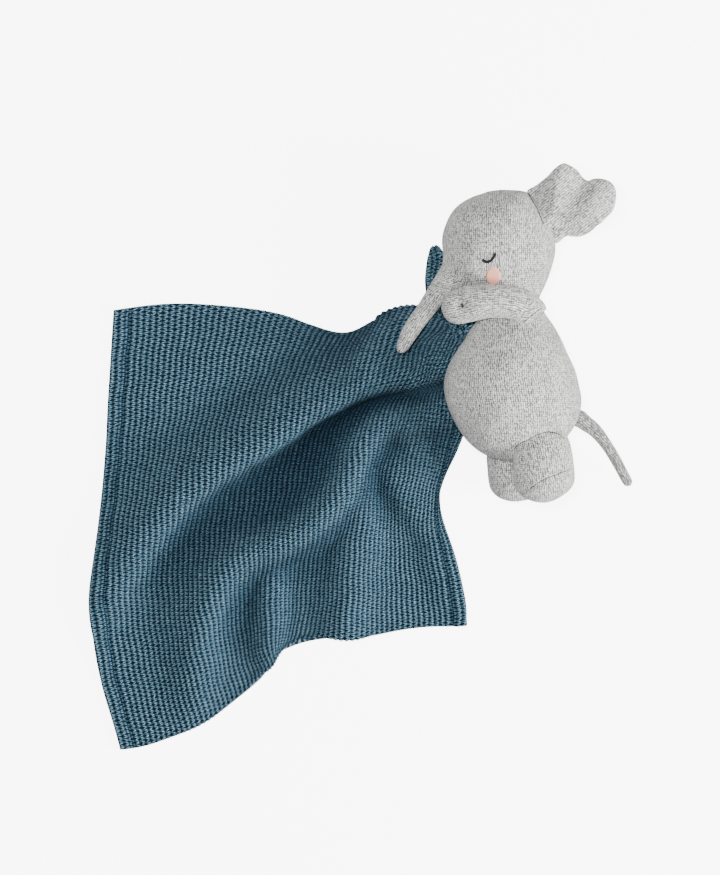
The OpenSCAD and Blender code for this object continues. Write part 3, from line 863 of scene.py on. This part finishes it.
FOLDS = [  # a crest with heights, and how wide it falls off on its left and on its right
    (roll, 25, 11), (second, 16, 12), (third, 12, 14), (pleat, 6, 11), (fourth, 8, 20),
    (fifth, 7, 7), (pouch, 12, 18), (flat_wave, 22, 18), (shoulder, 13, 9),
]
DENTS = [  # a line, its width and its depth
    ([(-74, 36), (-68, 21), (-62, 12), (-57, 5)], 5, 9),
    ([(-96, 40), (-92, 34), (-90, 28)], 5, 8),
    ([(-134, -122), (-137, -142), (-138, -166)], 6, 5),
    ([(-89, -57), (-80, -74), (-70, -91), (-58, -107)], 5, 8),
]


def mould(xy):
    """Height of the photo's folds, which the cloth hangs over, kept clear of the belly."""
    total = np.zeros(len(xy))
    for line, left, right in FOLDS:
        line = spline(line, 40)
        best = np.full(len(xy), 1e9)
        height = np.zeros(len(xy))
        for i in range(len(line) - 1):
            a, d = line[i, :2], line[i + 1, :2] - line[i, :2]
            v = xy - a
            f = np.clip((v @ d) / (d @ d), 0, 1)
            off = v - f[:, None] * d
            w = np.where(d[0] * v[:, 1] - d[1] * v[:, 0] < 0, left, right)
            r = np.linalg.norm(off, axis=1)
            near = r < best
            best[near] = r[near]
            h = (line[i, 2] + f * (line[i + 1, 2] - line[i, 2])) * np.exp(-((r / w) ** 2))
            height[near] = h[near]
        total += height**3
    z = total ** (1 / 3)
    for line, wide, deep in DENTS:
        r, _ = line_distance(xy, spline(line, 12))
        z -= deep * np.exp(-((r / wide) ** 2))
    d = np.hypot(xy[:, 0] - BELLY_MID[0], xy[:, 1] - BELLY_MID[1])
    under = MID - np.sqrt(np.maximum(BELLY_R**2 - d**2, 0)) - BELLY_GAP
    belly = np.where(d < BELLY_R, under, 99)
    return np.maximum(np.minimum(z, belly), 0)


def cross_mean(q):
    """The mean of each inner place's four neighbours."""
    return (q[2:, 1:-1] + q[:-2, 1:-1] + q[1:-1, 2:] + q[1:-1, :-2]) / 4


def gather_angles():
    return [np.radians(GATHER_FROM + GATHER_TURN * k / GATHERED) for k in range(GATHERED + 1)]


def cloth_plan():
    """Where each place of the cloth starts, seen from above: its edges as in the photo, the rest
    spread smoothly between them. Also which places are edges, and which lie on the spread sheet."""
    plan = np.zeros((GRID, GRID, 2))
    edge = np.zeros((GRID, GRID), bool)
    plan[0], plan[:, -1] = spline(left_line, GRID), spline(bottom_line, GRID)
    plan[: CUT + 1, 0] = spline(top_line, CUT + 1)
    plan[-1, GATHERED:] = spline(right_line, GRID - GATHERED)
    edge[0] = edge[:, -1] = edge[: CUT + 1, 0] = edge[-1, GATHERED:] = True
    for k, a in enumerate(gather_angles()):
        plan[CUT + k, k] = GATHER[:2] + GATHER_R * np.array([np.cos(a), np.sin(a)])
        edge[CUT + k, k] = True
    i, j = np.indices((GRID, GRID))
    inside = (i - j) <= CUT
    free = inside & ~edge
    plan[free] = plan[edge].mean(0)
    for _ in range(SPREAD_PASSES):
        near = np.zeros_like(plan)
        near[1:-1, 1:-1] = cross_mean(plan)
        plan[free] = near[free]
    return plan, edge, inside


def threads(index, on_sheet):
    """The knit's springs: both ends, the length and the stiffness, in groups that share no end."""
    groups = []
    i, j = np.indices((GRID, GRID))
    for di, dj, stiff in STIFFNESS:
        ok = (i + di < GRID) & (j + dj < GRID) & (j + dj >= 0)
        a, b = index[i[ok], j[ok]], index[i[ok] + di, j[ok] + dj]
        keep = on_sheet[a] & on_sheet[b]
        a, b = a[keep], b[keep]
        key = (a // GRID // abs(di) if di else a % GRID // abs(dj)) % 2
        length = STEP * np.hypot(di, dj)
        for g in (0, 1):
            groups.append((a[key == g], b[key == g], length, stiff))
    return groups


def smoothed(grid, inside):
    """Takes the last wrinkles out, with the edges smoothed only along themselves."""
    weight = inside[..., None].astype(float)
    for _ in range(4):
        total = np.zeros_like(grid)
        count = np.zeros_like(weight)
        for axis in (0, 1):
            for way in (1, -1):
                moved = np.roll(grid, way, axis) * np.roll(weight, way, axis)
                there = np.roll(weight, way, axis).copy()
                ends = [slice(None)] * 3
                ends[axis] = 0 if way == 1 else -1
                moved[tuple(ends)] = 0
                there[tuple(ends)] = 0
                total += moved
                count += there
        mean = total / np.maximum(count, 1)
        middle = (count == 4) & (weight > 0)
        grid += np.where(middle, 0.5 * (mean - grid), 0)
        for line in (grid[0], grid[:, -1], grid[: CUT + 1, 0], grid[-1, GATHERED:]):
            for _ in range(3):
                line[1:-1] += 0.5 * ((line[2:] + line[:-2]) / 2 - line[1:-1])
    return grid


def settle():
    """The cloth's places after it has hung over the mould, with its gathered side held."""
    plan, edge, inside = cloth_plan()
    index = np.arange(GRID * GRID).reshape(GRID, GRID)
    flat_plan = plan.reshape(-1, 2)
    p = np.column_stack([flat_plan, mould(flat_plan)])
    gather = [index[CUT + k, k] for k in range(GATHERED + 1)]
    held = []
    for k, a in enumerate(gather_angles()):
        out = GATHER_R + 1.2 * np.cos(k * np.pi / 2)
        rise = 2.5 * np.cos(k * np.pi / 2 + 1)
        held.append(GATHER + np.array([out * np.cos(a), out * np.sin(a), rise]))
    groups = threads(index, inside.ravel())
    rim = np.flatnonzero(edge.ravel())
    target = flat_plan[rim].copy()
    speed = np.zeros_like(p)
    core = inside[1:-1, 1:-1] & inside[2:, 1:-1] & inside[:-2, 1:-1]
    core = (core & inside[1:-1, 2:] & inside[1:-1, :-2])[..., None]
    for step in range(SETTLE_STEPS):
        if step % 8 == 0:
            ground = mould(p[:, :2])
        speed *= DRAG
        speed[:, 2] -= GRAVITY
        before = p.copy()
        p += speed
        for a, b, length, stiff in groups:
            d = p[b] - p[a]
            r = np.linalg.norm(d, axis=1)
            pull = np.where(r > length, stiff, stiff * SOFT)
            s = (pull * 0.5 * (r - length) / np.maximum(r, 1e-6))[:, None] * d
            p[a] += s
            p[b] -= s
        q = p.reshape(GRID, GRID, 3)
        q[1:-1, 1:-1, :2] += SMOOTH * core * (cross_mean(q) - q[1:-1, 1:-1])[..., :2]
        p[rim, :2] += 0.25 * (target - p[rim, :2])
        p[:, 2] = np.clip(p[:, 2], ground, ground + 7)
        p[gather] = held
        speed = np.clip(0.9 * (p - before), -1.5, 1.5)
    grid = smoothed(p.reshape(GRID, GRID, 3), inside)
    # the places beyond the gather, which no face uses, wait on its line
    for k in range(GRID):
        for m in range(GRID):
            if not inside[k, m]:
                extra = (k - m - CUT) / 2
                c = int(round(min(max(k - extra, CUT), GRID - 1)))
                grid[k, m] = grid[c, c - CUT]
    return grid


def hollows(grid):
    """The share of the sky that the folds hide from each place of the cloth, less a little, which
    darkens the cloth's colour as painted shade.
    """
    sectors, reach, open_sky = 12, 70.0, 0.12
    p = grid.reshape(-1, 3)
    hidden = np.zeros(len(p))
    for k, place in enumerate(p):
        d = p - place
        r = np.hypot(d[:, 0], d[:, 1])
        near = (r > 3) & (r < reach)
        slope = np.maximum(d[near, 2] / r[near], 0)
        turn = np.arctan2(d[near, 1], d[near, 0]) / (2 * np.pi) + 0.5
        steep = np.zeros(sectors)
        np.maximum.at(steep, (turn * sectors).astype(int) % sectors, slope)
        hidden[k] = np.mean(steep**2 / (1 + steep**2))
    hidden = hidden.reshape(grid.shape[:2])
    for _ in range(2):
        hidden = (hidden + cross_mean(np.pad(hidden, 1, mode="edge"))) / 2
    return np.maximum(hidden - open_sky, 0)


def refine(grid, count):
    """Catmull-Rom refinement of the settled grid."""
    n = len(grid)
    x = np.linspace(0, n - 1, count)
    i = np.clip(np.floor(x).astype(int), 0, n - 2)
    t = x - i
    w = [
        -0.5 * t + t**2 - 0.5 * t**3,
        1 - 2.5 * t**2 + 1.5 * t**3,
        0.5 * t + 2 * t**2 - 1.5 * t**3,
        -0.5 * t**2 + 0.5 * t**3,
    ]
    m = np.zeros((count, n))
    rows = np.arange(count)
    for k in range(4):
        np.add.at(m, (rows, np.clip(i + k - 1, 0, n - 1)), w[k])
    return np.einsum("ai,ijk,bj->abk", m, grid, m, optimize=True)


def yarn(s, t):
    """Height, 0 to 1, of the garter stitch's upright ridges."""
    return 0.5 - 0.5 * np.cos(2 * np.pi * (s + RIDGE_WANDER * np.sin(WANDER_RATE * t)) / RIDGE)


def lean_over(p):
    """The big roll leans over towards the belly."""
    flat = p.reshape(-1, 3)
    lean = smoothstep((flat[:, 2] - 6) / 22)
    d, along = line_distance(flat[:, :2], spline([r[:2] for r in roll], 40))
    w = np.exp(-((d / 16) ** 2)) * lean * smoothstep((250 - along) / 120)
    flat[:, 0] += 3.0 * w
    flat[:, 1] -= 4.6 * w


def knit_places(p, s, S, T):
    """Knit coordinates: s and t, but near the gather the real distance along the cloth, so that
    the ridges keep their width and fewer of them show."""
    along_s = np.cumsum(np.linalg.norm(np.diff(p, axis=0), axis=-1), 0)
    along_s = np.r_[np.zeros((1, FINE)), along_s]
    along_t = np.cumsum(np.linalg.norm(np.diff(p, axis=1), axis=-1), 1)
    along_t = np.c_[np.zeros((FINE, 1)), along_t]
    from_s, from_t = int(190 / SIDE * FINE), int(110 / SIDE * FINE)
    real_s = s[from_s] + along_s - along_s[from_s]
    real_t = s[from_t] + along_t - along_t[:, from_t][:, None]
    near_top = 1 - smoothstep((T - 60) / 90)
    near_gather = smoothstep((S - 150) / 60)
    U = np.where(S > s[from_s], S + near_top * (real_s - S), S)
    V = np.where(T < s[from_t], T + near_gather * (real_t - T), T)
    return U, V


def relief(U, V, S, T):
    """How far the knit stands out: ridges, a folded hem on two sides, a chain on the others."""
    from_side = np.minimum(S, SIDE - S)
    hem = smoothstep((9.5 - from_side) / 0.8)
    groove = np.exp(-(((from_side - HEM) / 0.7) ** 2))
    chain = smoothstep((3.2 - np.minimum(T, SIDE - T)) / 0.8)
    return 1.1 * yarn(U, V) + 1.2 * hem - 1.4 * groove + 0.6 * chain


def sheet_faces(S, T):
    """Quads of the upper and lower side, and walls between them along every open edge."""
    inside = (S - T) <= LEFT_OUT
    index = np.arange(FINE * FINE).reshape(FINE, FINE)
    cell = inside[:-1, :-1] & inside[1:, 1:] & inside[1:, :-1] & inside[:-1, 1:]
    a, b = index[:-1, :-1][cell], index[1:, :-1][cell]
    c, d = index[1:, 1:][cell], index[:-1, 1:][cell]
    below = FINE * FINE
    upper = np.stack([a, d, c, b], 1)
    lower = np.stack([a, b, c, d], 1) + below
    sides = np.concatenate([upper[:, [k, (k + 1) % 4]] for k in range(4)])
    key = np.sort(sides, 1)
    key = key[:, 0].astype(np.int64) * below + key[:, 1]
    _, first, counts = np.unique(key, return_index=True, return_counts=True)
    open_sides = sides[first[counts == 1]]
    m0, m1 = open_sides[:, 0], open_sides[:, 1]
    walls = np.stack([m1, m0, m0 + below, m1 + below], 1)
    return np.vstack([upper, lower, walls])


def cloth():
    grid = settle()
    fine = refine(np.concatenate([grid, hollows(grid)[..., None]], -1), FINE)
    p, deep = fine[..., :3].copy(), fine[..., 3]
    s = np.linspace(0, SIDE, FINE)
    S, T = np.meshgrid(s, s, indexing="ij")
    lean_over(p)
    outward = unit(np.cross(np.gradient(p, axis=0), np.gradient(p, axis=1)))
    if outward[..., 2].mean() < 0:
        outward = -outward
    U, V = knit_places(p, s, S, T)
    top = p + outward * (THICK * 0.5 + relief(U, V, S, T))[..., None]
    low = p - outward * (THICK * 0.5)
    low[..., 2] = np.maximum(low[..., 2], 0.05)
    top[..., 2] = np.maximum(top[..., 2], 0.8)
    faces = sheet_faces(S, T)
    used = np.unique(faces)
    renumber = np.full(2 * FINE * FINE, -1)
    renumber[used] = np.arange(len(used))
    verts = np.vstack([top.reshape(-1, 3), low.reshape(-1, 3)])[used]
    faces = renumber[faces]
    uvs = np.tile(np.column_stack([U.ravel(), V.ravel()]), (2, 1))[used]
    v0, v1, v2 = verts[faces[0][:3]]
    if np.cross(v1 - v0, v2 - v0)[2] < 0:
        faces = faces[:, ::-1]
    ob = make("blanket_cloth", verts, faces.tolist(), uvs[faces.ravel()], PETROL)
    # the share of hidden sky, kept for the painted shade in the cloth's colour
    layer = ob.data.attributes.new("hollow", "FLOAT", "POINT")
    layer.data.foreach_set("value", np.tile(deep.ravel(), 2)[used].astype(np.float32))
    return ob


blanket = cloth()
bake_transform(blanket)
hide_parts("blanket")

# The corner beyond the gather, bunched between the paws and sticking out past the head.
AROUND = 110
corner_rows = [
    (-21.5, 41.5, 38, 3, 3), (-24.5, 40.3, 38, 8, 5.6), (-28.5, 40.2, 38, 10.2, 7.2),
    (-33, 42, 37.3, 10.6, 7.2), (-38, 45.2, 35.8, 9.4, 7), (-45, 50, 31, 7.5, 6.5),
    (-48.5, 57, 25, 5.8, 5.6), (-49.5, 65, 21, 5.2, 6), (-48.6, 73, 19, 5.4, 6.2),
    (-48.4, 79, 18.5, 4.8, 5.6), (-49.2, 83.5, 18, 2.8, 3.4), (-49.6, 85.2, 18, 0.6, 0.6),
]
corner = make("blanket_corner", *loft(corner_rows, 110, AROUND, None), PETROL)
q, outward = coords(corner), normals(corner)
ring = np.arange(len(q)) // AROUND
turn = (np.arange(len(q)) % AROUND) / AROUND * 2 * np.pi
pleats = np.cos(3 * turn + 0.04 * ring)
ridges = yarn(8 * turn + 60, ring * 0.78 + 4 * turn)
move(corner, q + outward * (1.0 * pleats + 0.9 * ridges - 0.6)[:, None])
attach(corner, "arms")
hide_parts("blanket_gather")

# ---------- stage
bpy.ops.mesh.primitive_plane_add(size=40, location=(0, 0, 0))
floor = bpy.context.object
floor.name = "floor"
mat, nodes, links = nodes_of("pale_floor")
paper = nodes["Principled BSDF"].inputs
paper["Base Color"].default_value = (0.95, 0.95, 0.95, 1)
paper["Roughness"].default_value = 0.9
paper["Specular IOR Level"].default_value = 0.0
paper["Emission Color"].default_value = (1, 1, 1, 1)
paper["Emission Strength"].default_value = 6.5
floor.data.materials.append(mat)
floor.visible_diffuse = False

world = bpy.context.scene.world or bpy.data.worlds.new("World")
bpy.context.scene.world = world
world.use_nodes = True
sky = world.node_tree.nodes["Background"].inputs
sky["Color"].default_value = (1, 1, 1, 1)
sky["Strength"].default_value = 0.28

LOOK_AT = (-0.08, -0.03, 0)


def area_light(name, place, size, power):
    data = bpy.data.lights.new(name, "AREA")
    data.shape = "DISK"
    data.size = size
    data.energy = power
    ob = bpy.data.objects.new(name, data)
    bpy.context.scene.collection.objects.link(ob)
    ob.location = place
    ob.rotation_euler = (Vector(LOOK_AT) - Vector(place)).to_track_quat("-Z", "Y").to_euler()


area_light("key", (1.3, -0.5, 0.6), 0.6, 56)
area_light("top", (-0.18, 0.14, 2.2), 0.35, 58)

camera = bpy.data.objects.new("camera", bpy.data.cameras.new("camera"))
bpy.context.scene.collection.objects.link(camera)
camera.location = (-0.0973, -0.0368, 5.0)
camera.data.lens = 390
camera.data.sensor_width = 36
camera.data.sensor_fit = "HORIZONTAL"
camera.data.clip_end = 20
bpy.context.scene.camera = camera
